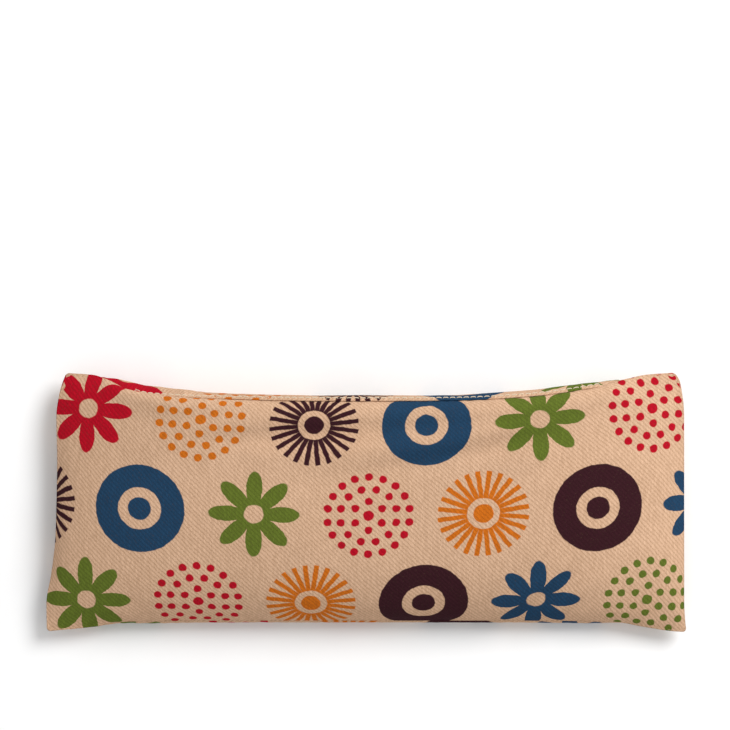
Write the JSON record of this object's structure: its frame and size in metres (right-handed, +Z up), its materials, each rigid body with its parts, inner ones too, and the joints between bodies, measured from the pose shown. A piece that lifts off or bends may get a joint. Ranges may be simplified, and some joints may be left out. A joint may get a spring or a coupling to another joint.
{
  "type": "eye pillow",
  "caption": "Soft rectangular eye pillow in printed cotton twill, seed filled, with an edge-stitched closing seam along one long side.",
  "frame": {"origin": "centre of the space the pillow covers, on the surface it rests on", "axes": "+X along the pillow's length, +Y across it towards the closing seam, +Z up out of the front panel"},
  "size_m": [0.2536, 0.1032, 0.03],
  "materials": {
    "front_twill": "matte printed cotton twill, tan ground",
    "back_twill": "matte printed cotton twill, tan ground",
    "cream_thread": "spun sewing thread, cream",
    "muslin": "plain unbleached cotton",
    "white_thread": "spun sewing thread, off-white",
    "flax_seed": "smooth glossy brown seed"
  },
  "bodies": {
    "root": {"front_panel": "front_twill", "back_panel": "back_twill", "seam_needle_thread": "cream_thread", "seam_bobbin_thread": "cream_thread", "closing_needle_thread": "cream_thread", "closing_bobbin_thread": "cream_thread", "inner_bag_front": "muslin", "inner_bag_back": "muslin", "bag_seam_needle_thread": "white_thread", "bag_seam_bobbin_thread": "white_thread", "bag_closing_needle_thread": "white_thread", "bag_closing_bobbin_thread": "white_thread", "seed_fill": "flax_seed"}
  },
  "joints": []
}
